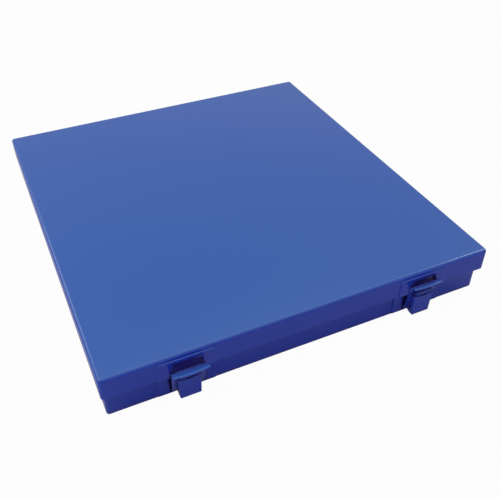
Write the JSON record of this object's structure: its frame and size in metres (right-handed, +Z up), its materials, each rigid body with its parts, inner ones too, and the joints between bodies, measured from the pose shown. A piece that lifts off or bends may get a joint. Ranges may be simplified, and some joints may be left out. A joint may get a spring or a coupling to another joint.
{
  "type": "metal box",
  "caption": "Flat painted sheet-steel case: shallow tray, hinged lid with a deep skirt, draw latches at the front, butt hinges at the back.",
  "frame": {"origin": "middle of the tray's flat underside", "axes": "+Z up, -Y towards the latches, +X to the right when facing the latches"},
  "size_m": [0.4, 0.4522, 0.0542],
  "materials": {
    "body_paint": "glossy blue enamel with faint orange peel",
    "latch_paint": "glossy blue enamel, thinner on folded edges",
    "hinge_paint": "glossy blue enamel over riveted leaves",
    "steel": "turned bright steel"
  },
  "bodies": {
    "tray": {"tray_shell": "body_paint", "left_bracket": "body_paint", "right_bracket": "body_paint", "left_lever_pin": "latch_paint", "right_lever_pin": "latch_paint", "bracket_rivets": "body_paint", "left_tray_leaf": "hinge_paint", "right_tray_leaf": "hinge_paint", "left_hinge_pin": "steel", "right_hinge_pin": "steel", "tray_leaf_rivets": "hinge_paint"},
    "lid": {"lid_shell": "body_paint", "left_lid_leaf": "hinge_paint", "right_lid_leaf": "hinge_paint", "lid_leaf_rivets": "hinge_paint"},
    "left_lever": {"left_lever": "latch_paint", "left_clasp_pin": "latch_paint"},
    "right_lever": {"right_lever": "latch_paint", "right_clasp_pin": "latch_paint"},
    "left_clasp": {"left_clasp": "latch_paint"},
    "right_clasp": {"right_clasp": "latch_paint"}
  },
  "joints": [
    {"name": "lid_hinge", "type": "hinge", "parent": "tray", "child": "lid", "pos_m": [0, 0.2168, 0.0299], "axis": [-1, 0, 0], "range_deg": [0, 180]},
    {"name": "left_lever_hinge", "type": "hinge", "parent": "tray", "child": "left_lever", "pos_m": [-0.1235, -0.2211, 0.0293], "axis": [-1, 0, 0], "range_deg": [0, 120]},
    {"name": "left_clasp_hinge", "type": "hinge", "parent": "left_lever", "child": "left_clasp", "pos_m": [-0.1235, -0.213, 0.0065], "axis": [-1, 0, 0], "range_deg": [-120, 0]},
    {"name": "right_lever_hinge", "type": "hinge", "parent": "tray", "child": "right_lever", "pos_m": [0.1235, -0.2211, 0.0293], "axis": [-1, 0, 0], "range_deg": [0, 120]},
    {"name": "right_clasp_hinge", "type": "hinge", "parent": "right_lever", "child": "right_clasp", "pos_m": [0.1235, -0.213, 0.0065], "axis": [-1, 0, 0], "range_deg": [-120, 0]}
  ],
  "couplings": [
    {"joint": "left_clasp_hinge", "follows": "left_lever_hinge", "ratio": -1},
    {"joint": "right_clasp_hinge", "follows": "right_lever_hinge", "ratio": -1}
  ]
}
